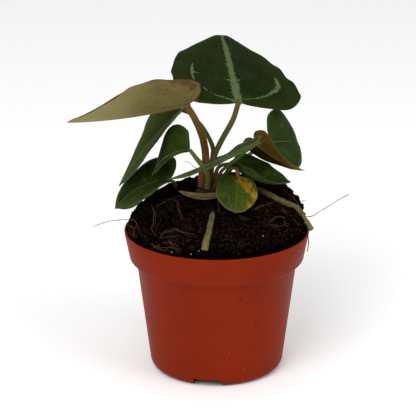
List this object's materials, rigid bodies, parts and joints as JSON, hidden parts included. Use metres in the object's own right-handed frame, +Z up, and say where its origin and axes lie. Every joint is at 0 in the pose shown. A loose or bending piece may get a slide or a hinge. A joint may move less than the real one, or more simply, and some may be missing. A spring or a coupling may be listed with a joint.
{
  "type": "potted_anthurium",
  "caption": "A young anthurium with silver-veined heart-shaped leaves in a terracotta-coloured plastic nursery pot, heaped with dark soil and roots, which stands on its foot as a house plant.",
  "frame": {"origin": "On the surface that the pot stands on, below the middle of the bounding box of the whole plant. The pot's upright axis stands at x 4.6 mm, y -16.5 mm.", "axes": "+Z up along the pot's axis, -Y to the front, where the picture was taken from, +X to the right."},
  "size_m": [0.1787, 0.153, 0.205],
  "materials": {
    "pot": "satin terracotta-coloured plastic",
    "soil": "dark crumbly peat",
    "crown": "brown, rough and dry",
    "blade_green": "velvety dark green with pale veins",
    "blade_young": "khaki and brown, soft sheen",
    "blade_yellow": "green with yellow patches",
    "stem_green": "smooth fresh green",
    "stem_brown": "smooth reddish brown",
    "sheath": "dry, cream to pink",
    "bud": "smooth pink",
    "root": "olive grey, scaly"
  },
  "bodies": {
    "root": {"pot": "pot", "soil": "soil", "crown": "crown", "leaf_01_blade": "blade_green", "leaf_01_stem": "stem_green", "leaf_02_blade": "blade_young", "leaf_02_stem": "stem_brown", "leaf_03_blade": "blade_green", "leaf_03_stem": "stem_green", "leaf_04_blade": "blade_green", "leaf_04_stem": "stem_green", "leaf_05_blade": "blade_green", "leaf_05_stem": "stem_green", "leaf_06_blade": "blade_green", "leaf_06_stem": "stem_green", "leaf_07_blade": "blade_young", "leaf_07_stem": "stem_brown", "leaf_08_blade": "blade_green", "leaf_08_stem": "stem_green", "leaf_09_blade": "blade_green", "leaf_09_stem": "stem_brown", "leaf_10_blade": "blade_yellow", "leaf_10_stem": "stem_green", "old_sheath": "sheath", "new_sheath": "sheath", "bud": "bud", "front_root": "root", "side_root": "root", "thin_root_left": "root", "thin_root_right": "root"}
  },
  "joints": []
}
